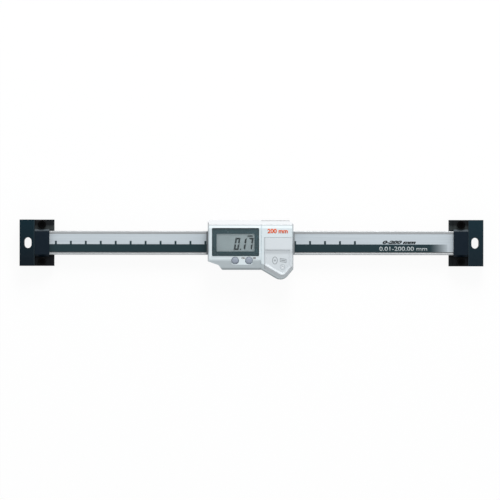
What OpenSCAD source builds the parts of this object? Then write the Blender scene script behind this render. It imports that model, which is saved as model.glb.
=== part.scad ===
// Digital linear scale unit: a steel beam with an inductive scale strip, clamped at both ends in
// slotted brackets, and a display slider that rides along it.
//
// Millimetres. +X runs along the beam, +Y across it, and +Z points out of the display. z = 0 is the
// mounting plane behind the brackets, and the origin lies midway between their two slots.
// The slider's own parts are drawn about the middle of the head, and at_slider() puts them in place.

/* [Measuring] */
// Length that the slider measures, from the first graduation to the last
measuring_range = 200; // [100:10:300]
// Slider travel left over at each end of the measuring range
overtravel = 3.4; // [2:0.2:8]
// Distance between graduations
mark_pitch = 10; // [5:1:20]
// Width of one graduation
mark_w = 1.3; // [0.4:0.1:1.5]
// Height of one graduation above the dark band
mark_h = 2.2; // [1.5:0.1:3]
// Distance from the left bracket to the first graduation
first_mark = 1.2; // [0.8:0.1:4]
// Place of the slider's middle, measured from the middle of the beam
slider_x = -0.6; // [-90:0.1:90]

/* [Beam] */
// Width of the beam
beam_w = 16; // [15:0.5:18]
// Thickness of the beam
beam_t = 3.5; // [3:0.25:5]
// Chamfer along the beam's long edges
beam_chamfer = 0.3; // [0.1:0.1:0.5]
// Width of the rail on each side of the scale strip, with its slope
rail_w = 1.9; // [1.6:0.1:2.4]
// Width of the slope from each rail down to the film
rail_slope = 1.1; // [0.6:0.1:1.2]
// Depth of the channel that holds the scale strip
strip_channel_d = 1; // [0.8:0.1:1.3]
// Thickness of the scale strip's laminate
strip_t = 0.55; // [0.4:0.05:0.6]
// Thickness of the graduated film over the strip
film_t = 0.1; // [0.05:0.05:0.15]
// Thickness of the ink on the film
ink_t = 0.03; // [0.02:0.01:0.05]
// Height of the dark band along the film's lower edge
band_h = 5.1; // [4:0.1:6]
// Distance between the dark band's right end and the bracket
band_end = 1; // [1:0.5:12]

/* [Brackets] */
// Height of each bracket across the beam
bracket_h = 31; // [30:0.5:36]
// Length of the slotted flange at a bracket's outer end
flange_l = 10; // [9:0.5:14]
// Thickness of the slotted flange
flange_t = 12; // [10:0.5:15]
// Length of the base that carries the beam's end
base_l = 13; // [11:0.5:18]
// Height of the beam's underside above the mounting plane
seat_z = 5; // [4.5:0.25:8]
// Depth to which the base lets the beam in
seat_d = 2; // [1:0.25:2.5]
// Width of the mounting slot
slot_w = 5; // [4.3:0.1:5.5]
// Length of the mounting slot, end to end
slot_l = 7.2; // [6.5:0.1:12]
// Distance from a bracket's outer edge to the middle of its slot
slot_edge = 5.5; // [4:0.1:6]
// Chamfer of the flange's long edges
flange_chamfer = 0.4; // [0.2:0.1:1]

/* [Beam clamps] */
// Length of each clamp along the beam
clamp_l = 9.8; // [8:0.1:10]
// Thickness of the clamp over the beam
clamp_t = 3; // [2:0.25:4]
// Thickness of the clamp's side walls beside the beam
clamp_wall = 1.15; // [0.8:0.05:1.5]
// Thickness of the clamp's screw ears
ear_t = 2; // [1.5:0.1:3]
// Chamfer along the clamp's two upper edges
clamp_chamfer = 1.4; // [0.6:0.1:1.6]
// Thread diameter of the clamp screws
clamp_screw_d = 3; // [2.5:0.5:3]

/* [Slider head] */
// Width of the head along the beam
head_w = 57.2; // [56:0.2:62]
// How far the head stands above the beam's upper edge
head_rise = 7.2; // [6.8:0.1:9]
// How far the display side of the head reaches below the beam's lower edge
head_fall = 10; // [9.4:0.1:11]
// Thickness of the front housing
housing_t = 9; // [8.8:0.1:10]
// Height of the housing's upright sides below its bevels
shoulder_h = 3; // [2.5:0.1:3.5]
// Wall thickness of the housing's sides
wall = 1.4; // [1.2:0.1:1.6]
// Thickness of the housing's face
face_t = 2; // [1.8:0.1:2.2]
// How far the upper bevel leans back from the face
top_bevel = 3; // [2:0.1:3.2]
// How far the left bevel leans back from the face
left_bevel = 1; // [0.6:0.1:1.4]
// Chamfer at the head's upper right corner
corner_cut = 2.8; // [2:0.1:4]

/* [Battery block] */
// Width of the block that holds the battery, at the head's right end
block_w = 21.5; // [20.5:0.1:22]
// How far the lobe's tip reaches below the display side, before it is rounded
lobe_drop = 8.2; // [6:0.1:9]
// How far the lobe's tip lies inside the right edge
lobe_inset = 7.4; // [6:0.1:9]
// Radius of the lobe's tip
lobe_r = 6; // [3:0.5:7]
// Width of the bevel along the lobe's long lower edge
lobe_bevel = 3.8; // [3:0.1:4]
// Width of the bevel along the lobe's short lower edge
side_bevel = 2.2; // [1.5:0.1:2.4]
// Width of the bevel along the head's right side
right_bevel = 0.9; // [0.6:0.1:2.4]
// Height of the fixed face above the battery cover
brand_h = 8.5; // [8:0.1:9.5]
// Width of the fixed strip to the left of the battery cover
jamb_w = 2; // [1.6:0.1:2.4]
// Thickness of the battery cover at its face
cover_t = 3.3; // [3:0.1:3.6]
// Length of the raised upper part of the cover
cover_pad_h = 8.1; // [6:0.1:9]
// Depth of the hollow in the lower part of the cover
cover_step = 0.8; // [0.4:0.1:1]
// Width of the slope from the rim of the cover down into its hollow
cover_scoop = 1.2; // [0.8:0.1:1.6]
// Width of the groove between the display block and the battery block
groove_w = 0.5; // [0.3:0.1:0.7]

/* [Display and keys] */
// Height of the display window
window_h = 18.7; // [17.6:0.1:19]
// Distance from the face's upper edge to the window
window_top = 2.3; // [2:0.1:3]
// Distance from the head's left edge to the window
window_left = 2.85; // [2.2:0.05:3]
// Distance from the window to the battery block
window_right = 1.4; // [1.2:0.1:2]
// Thickness of the window
window_t = 1; // [0.8:0.1:1.1]
// Border between the window's sides and the visible display
lcd_border = 3.1; // [2.8:0.1:3.6]
// Border above the visible display
lcd_border_top = 3.8; // [3.6:0.1:4.2]
// Border below the visible display
lcd_border_low = 3.1; // [3:0.1:3.8]
// Thickness of the display panel
lcd_t = 1.55; // [1.2:0.05:1.8]
// Diameter of a key
key_d = 4.8; // [4:0.1:5]
// Distance between the two keys
key_pitch = 9.2; // [8:0.1:12]
// Distance from the window's right side to the right key
key_inset = 6.8; // [5:0.1:8]
// Distance from the window's lower edge to the middle of the keys
key_drop = 2.9; // [2.9:0.1:3.3]
// Travel of a key
key_travel = 0.5; // [0.3:0.05:0.6]
// How far a key stands above the face
key_proud = 0.3; // [0.1:0.1:0.8]

/* [Slider frame] */
// Thickness of the slider's back plate
back_t = 3.95; // [3:0.05:3.95]
// Thickness of the frame's web between the beam and the circuit board
web_t = 0.85; // [0.8:0.05:1.2]
// Thickness of the circuit board
board_t = 1; // [0.8:0.1:1.1]
// Depth of the frame's pocket for the circuit board
pocket_d = 1.2; // [1.2:0.1:1.6]
// Thickness of the gasket under the housing
gasket_t = 0.4; // [0.3:0.05:0.6]
// Thickness of the gib strip
gib_t = 1.4; // [1.2:0.1:1.8]
// How far each wiper stands beyond the head
wiper_out = 0.8; // [0.6:0.1:1.5]
// Length of the reading head along the beam
readhead_l = 25; // [20:1:30]
// Spacing of the four tapped mounting holes along the beam
mount_dx = 24; // [20:1:26]
// Thread core radius of the mounting holes
mount_r = 1.25; // [1:0.05:1.25]
// Distance from the head's end to the screws of the back plate
plate_screw_inset = 8.7; // [8:0.1:9.5]
// Thread diameter of the back plate's screws
plate_screw_d = 2.5; // [2:0.5:2.5]

/* [Battery] */
// Diameter of the button cell
cell_d = 11.6; // [11:0.1:11.6]
// Thickness of the button cell
cell_t = 5.4; // [5:0.1:5.4]

/* [Clearances] */
// Running clearance between the slider and each face of the beam
run_gap = 0.05; // [0.03:0.01:0.08]
// Clearance between parts that are screwed or slipped together
fit_gap = 0.05; // [0.03:0.01:0.1]
// Width of the seam round the battery cover
seam = 0.15; // [0.1:0.05:0.25]
// Clearance around a key
key_gap = 0.1; // [0.06:0.01:0.15]

/* [Hidden] */
$fn = 48;
arc_steps = 5;
far = 100;                                  // reach of a cutter past any part of the head
past = 1;                                   // how far a cutter runs on beyond the face it cuts

// Beam and brackets
beam_z0 = seat_z;
beam_z1 = beam_z0 + beam_t;
strip_z0 = beam_z1 - strip_channel_d;
film_z0 = strip_z0 + strip_t;
film_z1 = film_z0 + film_t;
span = measuring_range + head_w + 2 * overtravel;
bracket_x0 = span / 2;
flange_x0 = bracket_x0 + base_l;
bracket_x1 = flange_x0 + flange_l;
base_z1 = seat_z + seat_d;
end_gap = 0.3;                              // between the beam's end and the flange
beam_x1 = flange_x0 - end_gap;
strip_x1 = beam_x1 - 0.5;
channel_w = beam_w - 2 * rail_w;
film_edge = 0.1;
film_y1 = channel_w / 2 - film_edge;
mark_count = floor(measuring_range / mark_pitch) + 1;

// Clamps
clamp_x0 = flange_x0 - 0.1 - clamp_l;
clamp_y1 = beam_w / 2 + fit_gap + clamp_wall;
clamp_z1 = beam_z1 + clamp_t;
ear_y1 = bracket_h / 2 - 0.2;
ear_z0 = base_z1 + fit_gap;
ear_z1 = ear_z0 + ear_t;
clamp_screw_x = clamp_x0 + clamp_l / 2;
clamp_screw_ys = [for (side = [-1, 1]) side * (clamp_y1 + bracket_h / 2) / 2];
clamp_hole_z0 = 1;
clamp_screw_tip = 0.5;                      // between a clamp screw and the floor of its hole

// Levels of the slider, from its back to its face
back_z1 = beam_z0 - run_gap;
back_z0 = back_z1 - back_t;
roof_z = beam_z1 + run_gap;
board_z0 = roof_z + web_t;
board_z1 = board_z0 + board_t;
frame_z1 = board_z0 + pocket_d;
housing_z0 = frame_z1 + gasket_t;
face_z = housing_z0 + housing_t;
shoulder_z = housing_z0 + shoulder_h;

// Plan of the head
head_l = -head_w / 2;
head_r = head_w / 2;
head_top = beam_w / 2 + head_rise;
head_low = -beam_w / 2 - head_fall;
face_top = head_top - top_bevel;
block_x = head_r - block_w;
lobe_x = block_x + 0.2;
lobe_tip = [head_r - lobe_inset, head_low - lobe_drop];
lobe_shoulder_y = head_low + 0.5;
lobe_slope = (lobe_tip.y - head_low) / (lobe_tip.x - lobe_x);
relief_h = 5.7;                             // height of the relief at the head's lower left
relief_l = 9.6;
relief_y = head_low + relief_h;
head_plan = [
    [head_l, head_top, 1.6],
    [head_l, relief_y, 0.8],
    [head_l + 0.75 * relief_l, relief_y - 0.44 * relief_h, 1.2],
    [head_l + relief_l, head_low, 1.0],
    [lobe_x, head_low, 2.0],
    [lobe_tip.x, lobe_tip.y, lobe_r],
    [head_r, lobe_shoulder_y, 1.2],
    [head_r, head_top - corner_cut, 0.6],
    [head_r - corner_cut, head_top, 0.6]
];
block_plan = [
    [block_x, head_top, 0],
    [block_x, head_low + (block_x - lobe_x) * lobe_slope, 0],
    [lobe_tip.x, lobe_tip.y, lobe_r],
    [head_r, lobe_shoulder_y, 1.2],
    [head_r, head_top, 0.6]
];
block_bevels = [0, lobe_bevel, side_bevel, right_bevel, top_bevel];

// Window and display
window_x0 = head_l + window_left;
window_x1 = block_x - window_right;
window_y1 = face_top - window_top;
window_y0 = window_y1 - window_h;
window_z0 = face_z - window_t;
window_r = 0.75;
seal_t = 0.2;
seal_w = 1.6;
ledge_z1 = window_z0 - seal_t;
lcd_x0 = window_x0 + lcd_border;
lcd_x1 = window_x1 - lcd_border;
lcd_y0 = window_y0 + lcd_border_low;
lcd_y1 = window_y1 - lcd_border_top;
aperture_edge = 0.8;                        // opening in the face, past the visible display
glass_edge = 1.5;                           // glass of the display, past what is visible
lcd_z1 = face_z - face_t - fit_gap;
lcd_z0 = lcd_z1 - lcd_t;
zebra_t = 1.2;
zebra_y = 0.1;                              // middle of each contact strip, past what is visible

// Keys
key_y = window_y0 - key_drop;
key_xs = [window_x1 - key_inset - key_pitch, window_x1 - key_inset];
key_r = key_d / 2;
key_bore_r = key_r + key_gap;
slope_y = key_y + 0.2;                      // middle of the face's bend down to its lower slope
slope_r = 3;                                // radius of that bend
collar_wall = 1;
collar_z0 = housing_z0 + 3.7;
flange_h = 0.6;
flange_r = key_r + 0.6;
key_z0 = collar_z0 - key_gap - flange_h;
key_seal_r = 0.3;
key_seal_z = collar_z0 + 0.65;
key_seal_w = key_seal_r + fit_gap;          // half the height of the groove for a key's seal
switch_w = 4.5;
plunger_r = 0.9;

// Battery, its cup and its cover
cover_x0 = block_x + jamb_w;
cover_y1 = face_top - brand_h;
cover_z0 = face_z - cover_t;
step_y = cover_y1 - cover_pad_h;
step_l = 1.0;                               // length of the step's steep part
step_foot = 2.2;                            // length of its foot, which is less steep
cover_low_z = face_z - cover_step;
hollow_rims = [jamb_w + seam + 0.3, lobe_bevel + 0.3, side_bevel + 0.3, right_bevel + 1, 0];
deck_z1 = cover_z0 - fit_gap;
deck_t = 1.65;
cell_at = [head_r - 10, cover_y1 - 11.2];
cell_r = cell_d / 2;
cell_z1 = cover_z0 - 0.1;
cell_z0 = cell_z1 - cell_t;
cup_r = cell_r + 0.2;
cup_seal_w = 0.9;
cup_seal_h = 0.8;
cup_seal_r = cup_r + cup_seal_w;
cup_wall_r = cup_seal_r + 1;
contact_w = 3;
cover_screw_at = [head_r - 7.3, head_low + 1.9];
cover_screw_z = cover_low_z - 1.1;
cover_screw_head = 1.6;
cover_screw_boss = 2.2;

// Slider frame, its back plate and its gib
frame_inset = 0.4;
rim_w = 1.4;
guide_y1 = beam_w / 2 + run_gap + gib_t + fit_gap;
fix_y0 = -beam_w / 2 - run_gap - 2.45;
fix_y1 = guide_y1 + 2;
mount_xs = [-mount_dx / 2, mount_dx / 2];
mount_depth = 2.5;                          // room in the frame for a mounting screw's tip
plate_screw_xs = [head_l + plate_screw_inset, head_r - plate_screw_inset];
plate_screw_grip = 3.3;
plate_x = head_r - 1.7;
plate_y0 = fix_y0 - 2.5;
plate_y1 = head_top - 0.6;
plate_cut = 2.5;
csk_d = 1.7;                                // head of a countersunk screw, in thread diameters
csk_h = 0.35;
gib_end = 1.6;
gib_xs = [-7, 7];
gib_z = (beam_z0 + beam_z1) / 2;
gib_screw_r = 1.25;
gib_dimple = 0.3;
gib_screw_y0 = guide_y1 - fit_gap - gib_dimple;
gib_screw_y1 = head_top - frame_inset - 0.8;
frame_end = head_r - frame_inset;
wiper_y1 = beam_w / 2 - 0.4;
wiper_grip = 1.2;                           // depth of a wiper's tab in the end of the frame
wiper_tab_z1 = board_z0 - fit_gap;
wiper_z1 = frame_z1 - 0.1;

// Housing bosses and their screws
boss_r = 2;
boss_h = 4.2;
boss_at = [
    [head_l + 4.2, head_top - 3.3],
    [head_r - 4.2, head_top - 3.3],
    [head_l + 5, relief_y + 1.8],
    [lobe_x + 2.9, head_low + 3]
];
head_screw_r = 1;
head_screw_grip = 2.8;
pan_r = 1.75;
pan_h = 1.4;
pan_z = back_z1 + 2.2;

// Gasket and circuit boards
gasket_edge = 0.1;
gasket_lap = 0.2;
board_gap = 0.15;
readhead_w = channel_w - 1.8;
readhead_t = 0.65;
chip_l = 8;
chip_w = 6.4;
chip_t = 1.2;
capacitor_l = 2;
capacitor_w = 1.2;
capacitor_h = 0.8;
capacitor_pitch = 3.2;
crystal_r = 1;
crystal_l = 6;

// ---- Outlines -------------------------------------------------------------------------------

function flat(p) = [p[0], p[1]];
function unit(v) = v / norm(v);
function left_of(v) = [-v[1], v[0]];
function turn(v, w) = v[0] * w[1] - v[1] * w[0];
function of_edge(g, i) = is_list(g) ? g[i] : g;

// A closed path of [x, y, radius] corners, its edges moved inwards by g, or by one value per edge.
function inset(path, g) = [
    for (i = [0 : len(path) - 1])
        let (
            n = len(path),
            p = flat(path[i]),
            before = unit(p - flat(path[(i + n - 1) % n])),
            after = unit(flat(path[(i + 1) % n]) - p),
            n1 = left_of(before),
            n2 = left_of(after),
            g1 = of_edge(g, (i + n - 1) % n),
            g2 = of_edge(g, i),
            c = n1 * n2,
            moved = p + (n1 * (g1 - c * g2) + n2 * (g2 - c * g1)) / (1 - c * c),
            r = path[i][2] - sign(turn(before, after)) * (g1 + g2) / 2
        )
        [moved.x, moved.y, path[i][2] == 0 ? 0 : max(r, 0.3)]
];

// The points of a path with its corners rounded.
function rounded(path) = [
    for (i = [0 : len(path) - 1])
        let (
            n = len(path),
            p = flat(path[i]),
            u = unit(flat(path[(i + n - 1) % n]) - p),
            v = unit(flat(path[(i + 1) % n]) - p),
            half = acos(u * v) / 2,
            r = path[i][2],
            centre = p + unit(u + v) * r / sin(half),
            start = p + u * r / tan(half) - centre,
            sweep = (180 - 2 * half) * sign(turn(start, p - centre))
        )
        each r == 0 ? [p] : [
            for (k = [0 : arc_steps])
                let (a = sweep * k / arc_steps)
                centre + [start.x * cos(a) - start.y * sin(a), start.x * sin(a) + start.y * cos(a)]
        ]
];

module plate(path, z0, z1) {
    translate([0, 0, z0])
        linear_extrude(z1 - z0)
            polygon(rounded(path));
}

module box(x0, x1, y0, y1, z0, z1) {
    translate([x0, y0, z0])
        cube([x1 - x0, y1 - y0, z1 - z0]);
}

module rod(at, r, z0, z1) {
    translate([at.x, at.y, z0])
        cylinder(r = r, h = z1 - z0);
}

module along_x(x0, x1) {
    translate([x0, 0, 0])
        rotate([90, 0, 90])
            linear_extrude(x1 - x0)
                children();
}

module along_y(y0, y1) {
    translate([0, y1, 0])
        rotate([90, 0, 0])
            linear_extrude(y1 - y0)
                children();
}

module at_slider() {
    translate([slider_x, 0, 0])
        children();
}

function rectangle(x0, x1, y0, y1, r) = [[x0, y0, r], [x1, y0, r], [x1, y1, r], [x0, y1, r]];

// A rectangle from -x to x with its corners cut off by c, each new corner rounded by r.
function clipped(x, y0, y1, c, r) = [
    [-x, y0 + c, r], [c - x, y0, r], [x - c, y0, r], [x, y0 + c, r],
    [x, y1 - c, r], [x - c, y1, r], [c - x, y1, r], [-x, y1 - c, r]
];

// ---- Fasteners ------------------------------------------------------------------------------

// Socket head cap screw, its under-head face at z = 0 and its shank down to -l.
module cap_screw(d, l) {
    head_d = 11 / 6 * d;
    edge = 0.1 * d;
    difference() {
        union() {
            translate([0, 0, -l])
                cylinder(d = d, h = l);
            cylinder(d = head_d, h = d - edge);
            translate([0, 0, d - edge])
                cylinder(d1 = head_d, d2 = head_d - 2 * edge, h = edge);
        }
        translate([0, 0, 0.55 * d])
            cylinder(d = 0.95 * d, h = d, $fn = 6);
    }
}

// Slotted countersunk screw, its flat head at z = 0 and its shank up to l.
module flat_screw(d, l) {
    nick = 0.24 * d;
    difference() {
        union() {
            cylinder(d1 = csk_d * d, d2 = d, h = csk_h * d);
            cylinder(d = d, h = l);
        }
        translate([-nick / 2, -d, -past])
            cube([nick, 2 * d, past + 0.22 * d]);
    }
}

// Round head screw with a hexagon socket, its under-head face at z = 0 and its shank up to l.
module pan_screw(r, head_r, head_h, l) {
    edge = 0.25;
    difference() {
        union() {
            cylinder(r = r, h = l);
            translate([0, 0, edge - head_h])
                cylinder(r = head_r, h = head_h - edge);
            translate([0, 0, -head_h])
                cylinder(r1 = head_r - edge, r2 = head_r, h = edge);
        }
        translate([0, 0, -head_h - past])
            cylinder(r = 0.75 * r, h = past + 0.6 * head_h, $fn = 6);
    }
}

// ---- Beam and scale -------------------------------------------------------------------------

module main_beam() {
    hw = beam_w / 2;
    c = beam_chamfer;
    lip = channel_w / 2;
    rail = lip + rail_slope;
    color("gainsboro")
        along_x(-beam_x1, beam_x1)
            polygon([
                [-hw + c, beam_z0], [hw - c, beam_z0], [hw, beam_z0 + c], [hw, beam_z1 - c],
                [hw - c, beam_z1], [rail, beam_z1], [lip, film_z1], [lip, strip_z0],
                [-lip, strip_z0], [-lip, film_z1], [-rail, beam_z1],
                [-hw + c, beam_z1], [-hw, beam_z1 - c], [-hw, beam_z0 + c]
            ]);
}

module scale_strip() {
    color("darkslategray")
        box(-strip_x1, strip_x1, -film_y1, film_y1, strip_z0, film_z0);
}

module graduation_film() {
    band_y1 = -film_y1 + band_h;
    color("silver") {
        box(-strip_x1, strip_x1, -film_y1, film_y1, film_z0, film_z1);
        box(-strip_x1, bracket_x0 - band_end, -film_y1, band_y1, film_z1, film_z1 + ink_t);
        for (i = [0 : mark_count - 1])
            translate([-bracket_x0 + first_mark + i * mark_pitch - mark_w / 2, band_y1, film_z1])
                cube([mark_w, mark_h, ink_t]);
    }
}

// ---- Brackets at the beam's ends, drawn for the right end -----------------------------------

module bracket_base() {
    c = flange_chamfer;
    color([0.10, 0.17, 0.20])
        difference() {
            along_y(-bracket_h / 2, bracket_h / 2)
                polygon([
                    [bracket_x0, 0], [bracket_x1, 0],
                    [bracket_x1, flange_t - c], [bracket_x1 - c, flange_t],
                    [flange_x0 + c, flange_t], [flange_x0, flange_t - c],
                    [flange_x0, base_z1], [bracket_x0, base_z1]
                ]);
            box(bracket_x0 - past, flange_x0, -beam_w / 2 - fit_gap, beam_w / 2 + fit_gap,
                seat_z, flange_t + past);
            mounting_slot();
            for (y = clamp_screw_ys)
                rod([clamp_screw_x, y], clamp_screw_d / 2 + fit_gap, clamp_hole_z0, flange_t);
        }
}

module mounting_slot() {
    reach = (slot_l - slot_w) / 2;
    x = bracket_x1 - slot_edge;
    for (y = [-reach, reach])
        rod([x, y], slot_w / 2, -past, flange_t + past);
    box(x - slot_w / 2, x + slot_w / 2, -reach, reach, -past, flange_t + past);
}

module beam_clamp() {
    seat = beam_w / 2 + fit_gap;
    c = clamp_chamfer;
    color([0.10, 0.15, 0.19])
        difference() {
            along_x(clamp_x0, clamp_x0 + clamp_l)
                polygon([
                    [-ear_y1, ear_z0], [-seat, ear_z0], [-seat, beam_z1],
                    [seat, beam_z1], [seat, ear_z0], [ear_y1, ear_z0],
                    [ear_y1, ear_z1], [clamp_y1, ear_z1], [clamp_y1, clamp_z1 - c],
                    [clamp_y1 - c, clamp_z1], [-clamp_y1 + c, clamp_z1],
                    [-clamp_y1, clamp_z1 - c], [-clamp_y1, ear_z1], [-ear_y1, ear_z1]
                ]);
            for (y = clamp_screw_ys)
                rod([clamp_screw_x, y], clamp_screw_d / 2 + 2 * fit_gap,
                    ear_z0 - past, ear_z1 + past);
        }
}

module clamp_screws() {
    color([0.08, 0.08, 0.09])
        for (y = clamp_screw_ys)
            translate([clamp_screw_x, y, ear_z1])
                cap_screw(clamp_screw_d, ear_z1 - clamp_hole_z0 - clamp_screw_tip);
}

module bracket_base_left() {
    mirror([1, 0, 0])
        bracket_base();
}

module bracket_base_right() {
    bracket_base();
}

module beam_clamp_left() {
    mirror([1, 0, 0])
        beam_clamp();
}

module beam_clamp_right() {
    beam_clamp();
}

module clamp_screws_left() {
    mirror([1, 0, 0])
        clamp_screws();
}

module clamp_screws_right() {
    clamp_screws();
}

// ---- Slider frame and guides ----------------------------------------------------------------

module fixing_holes(xs, r, z0, z1) {
    for (x = xs, y = [fix_y0, fix_y1])
        rod([x, y], r, z0, z1);
}

module slider_frame() {
    color([0.72, 0.74, 0.75])
        at_slider()
            difference() {
                plate(inset(head_plan, frame_inset), back_z1, frame_z1);
                box(-far, far, -beam_w / 2 - run_gap, guide_y1, back_z1 - past, roof_z);
                board_pocket();
                readhead_form(fit_gap, roof_z - past, board_z0 + past);
                for (side = [-1, 1])
                    wiper_notch(side);
                for (x = gib_xs)
                    translate([x, guide_y1 - 0.5, gib_z])
                        rotate([-90, 0, 0])
                            cylinder(r = gib_screw_r + fit_gap, h = far);
                fixing_holes(mount_xs, mount_r + 0.35, back_z1 - past, back_z1 + mount_depth);
                fixing_holes(plate_screw_xs, plate_screw_d / 2 + fit_gap,
                    back_z1 - past, back_z1 + plate_screw_grip + 0.3);
                for (at = boss_at) {
                    rod(at, head_screw_r + 2 * fit_gap, back_z1 - past, frame_z1 + past);
                    rod(at, pan_r + board_gap, back_z1 - past, pan_z);
                }
            }
}

// The frame keeps a land round each screw of the housing, which holds the housing's boss.
module board_pocket() {
    difference() {
        plate(inset(head_plan, frame_inset + rim_w), board_z0, frame_z1 + past);
        for (at = boss_at)
            rod(at, boss_r + 2 * board_gap, board_z0 - past, frame_z1 + 2 * past);
    }
}

module readhead_form(gap, z0, z1) {
    x = readhead_l / 2 + gap;
    y = readhead_w / 2 + gap;
    box(-x, x, -y, y, z0, z1);
}

module wiper_notch(side) {
    y = wiper_y1 + fit_gap;
    mirror([side < 0 ? 1 : 0, 0, 0])
        box(frame_end - wiper_grip - 0.1, far, -y, y, roof_z - past, board_z0);
}

module slider_back_plate() {
    color([0.62, 0.64, 0.66])
        at_slider()
            difference() {
                plate(clipped(plate_x, plate_y0, plate_y1, plate_cut, 0.8), back_z0, back_z1);
                fixing_holes(mount_xs, mount_r, back_z0 - past, back_z1 + past);
                fixing_holes(plate_screw_xs, plate_screw_d / 2 + fit_gap,
                    back_z0 - past, back_z1 + past);
                for (x = plate_screw_xs, y = [fix_y0, fix_y1])
                    translate([x, y, back_z0])
                        cylinder(d1 = csk_d * plate_screw_d + 4 * fit_gap,
                            d2 = plate_screw_d + 2 * fit_gap,
                            h = csk_h * plate_screw_d + 2 * fit_gap);
            }
}

module back_plate_screws() {
    color([0.35, 0.36, 0.38])
        at_slider()
            for (x = plate_screw_xs, y = [fix_y0, fix_y1])
                translate([x, y, back_z0 + fit_gap])
                    flat_screw(plate_screw_d, back_t + plate_screw_grip);
}

module gib_strip() {
    color([0.75, 0.60, 0.32])
        at_slider()
            difference() {
                box(head_l + gib_end, head_r - gib_end, beam_w / 2 + run_gap, guide_y1 - fit_gap,
                    back_z1 + fit_gap, roof_z - fit_gap);
                for (x = gib_xs)
                    translate([x, gib_screw_y0, gib_z])
                        rotate([-90, 0, 0])
                            cylinder(r = gib_screw_r + fit_gap, h = 1);
            }
}

module gib_screws() {
    l = gib_screw_y1 - gib_screw_y0;
    color([0.15, 0.15, 0.16])
        at_slider()
            for (x = gib_xs)
                translate([x, gib_screw_y0, gib_z])
                    rotate([-90, 0, 0])
                        difference() {
                            cylinder(r = gib_screw_r, h = l);
                            translate([0, 0, l - 1.2])
                                cylinder(r = 0.6 * gib_screw_r, h = 1.2 + past, $fn = 6);
                        }
}

module wiper() {
    x0 = frame_end - wiper_grip;
    x1 = frame_end + fit_gap;
    x2 = head_r + wiper_out;
    z0 = beam_z1 + run_gap / 2;
    c = 0.4;
    color([0.10, 0.11, 0.12])
        along_y(-wiper_y1, wiper_y1)
            polygon([
                [x0, wiper_tab_z1], [x0, roof_z + fit_gap], [x1, roof_z + fit_gap], [x1, z0],
                [x2, z0], [x2, wiper_z1 - c], [x2 - c, wiper_z1], [x1, wiper_z1],
                [x1, wiper_tab_z1]
            ]);
}

module wiper_left() {
    at_slider()
        mirror([1, 0, 0])
            wiper();
}

module wiper_right() {
    at_slider()
        wiper();
}

// ---- Housing --------------------------------------------------------------------------------

// The display side of the head, all faces moved in by g and the front face by g_face.
module display_form(g, g_face) {
    z0 = housing_z0 - 2 * g;
    intersection() {
        along_x(head_l, block_x + g)
            polygon(rounded(inset([
                [head_low, z0, 0], [head_top, z0, 0], [head_top, shoulder_z, 0],
                [face_top, face_z, 0], [slope_y, face_z, slope_r], [head_low, shoulder_z, 0]
            ], [g, g, g, g_face, g, g])));
        along_y(-far, far)
            polygon(rounded(inset([
                [head_l, z0, 0], [block_x + 2 * g, z0, 0], [block_x + 2 * g, face_z, 0],
                [head_l + left_bevel, face_z, 0], [head_l, shoulder_z, 0]
            ], [g, g, 0, g, g])));
    }
}

// The battery side of the head, bevelled round its lobe.
module battery_form(g, z1) {
    thin = 0.01;
    intersection() {
        hull() {
            plate(inset(block_plan, g), housing_z0 - g, shoulder_z);
            plate(inset(block_plan, [for (b = block_bevels) b + g]), face_z - thin, face_z);
        }
        box(-far, far, -far, far, housing_z0 - g - past, z1);
    }
}

module head_form() {
    intersection() {
        plate(head_plan, housing_z0, face_z);
        union() {
            display_form(0, 0);
            battery_form(0, face_z);
        }
    }
}

module head_cavity() {
    intersection() {
        plate(inset(head_plan, wall), housing_z0 - past, face_z);
        union() {
            display_form(wall, face_t);
            battery_form(wall, deck_z1 - deck_t);
            intersection() {
                battery_form(wall, face_z - face_t);
                box(-far, far, cover_y1 + seam + wall, far, housing_z0 - 2 * past, face_z);
            }
        }
    }
}

module key_collars() {
    intersection() {
        for (x = key_xs)
            rod([x, key_y], key_bore_r + collar_wall, collar_z0, face_z);
        display_form(0.3, 0.3);
    }
}

module front_housing() {
    color([0.88, 0.90, 0.91])
        at_slider()
            difference() {
                union() {
                    difference() {
                        head_form();
                        head_cavity();
                    }
                    for (at = boss_at)
                        rod(at, boss_r, frame_z1 + fit_gap, housing_z0 + boss_h);
                    key_collars();
                    rod(cell_at, cup_wall_r, frame_z1 + fit_gap, deck_z1);
                    rod(cover_screw_at, cover_screw_boss, housing_z0 + 0.2, deck_z1);
                }
                box(cover_x0, far, -far, cover_y1, deck_z1, far);
                plate(rectangle(window_x0 - fit_gap, window_x1 + fit_gap, window_y0 - fit_gap,
                    window_y1 + fit_gap, window_r + fit_gap), ledge_z1, far);
                plate(rectangle(lcd_x0 - aperture_edge, lcd_x1 + aperture_edge,
                    lcd_y0 - aperture_edge, lcd_y1 + aperture_edge, 0.5), 0, far);
                box(block_x - groove_w / 2, block_x + groove_w / 2, -far, far,
                    face_z - groove_w, far);
                for (x = key_xs) {
                    rod([x, key_y], key_bore_r, collar_z0 - past, far);
                    rod([x, key_y], key_bore_r + 2 * key_seal_r,
                        key_seal_z - key_seal_w, key_seal_z + key_seal_w);
                }
                rod(cell_at, cup_r, board_z1 - past, far);
                difference() {
                    rod(cell_at, cup_seal_r + cup_seal_w / 2, deck_z1 - cup_seal_h, far);
                    rod(cell_at, cup_seal_r - cup_seal_w / 2, deck_z1 - cup_seal_h - past, far);
                }
                contact_slot();
                rod(cover_screw_at, head_screw_r + fit_gap, housing_z0 + 0.5, far);
                for (at = boss_at)
                    rod(at, head_screw_r + fit_gap, frame_z1, housing_z0 + head_screw_grip + 0.4);
            }
}

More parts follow.
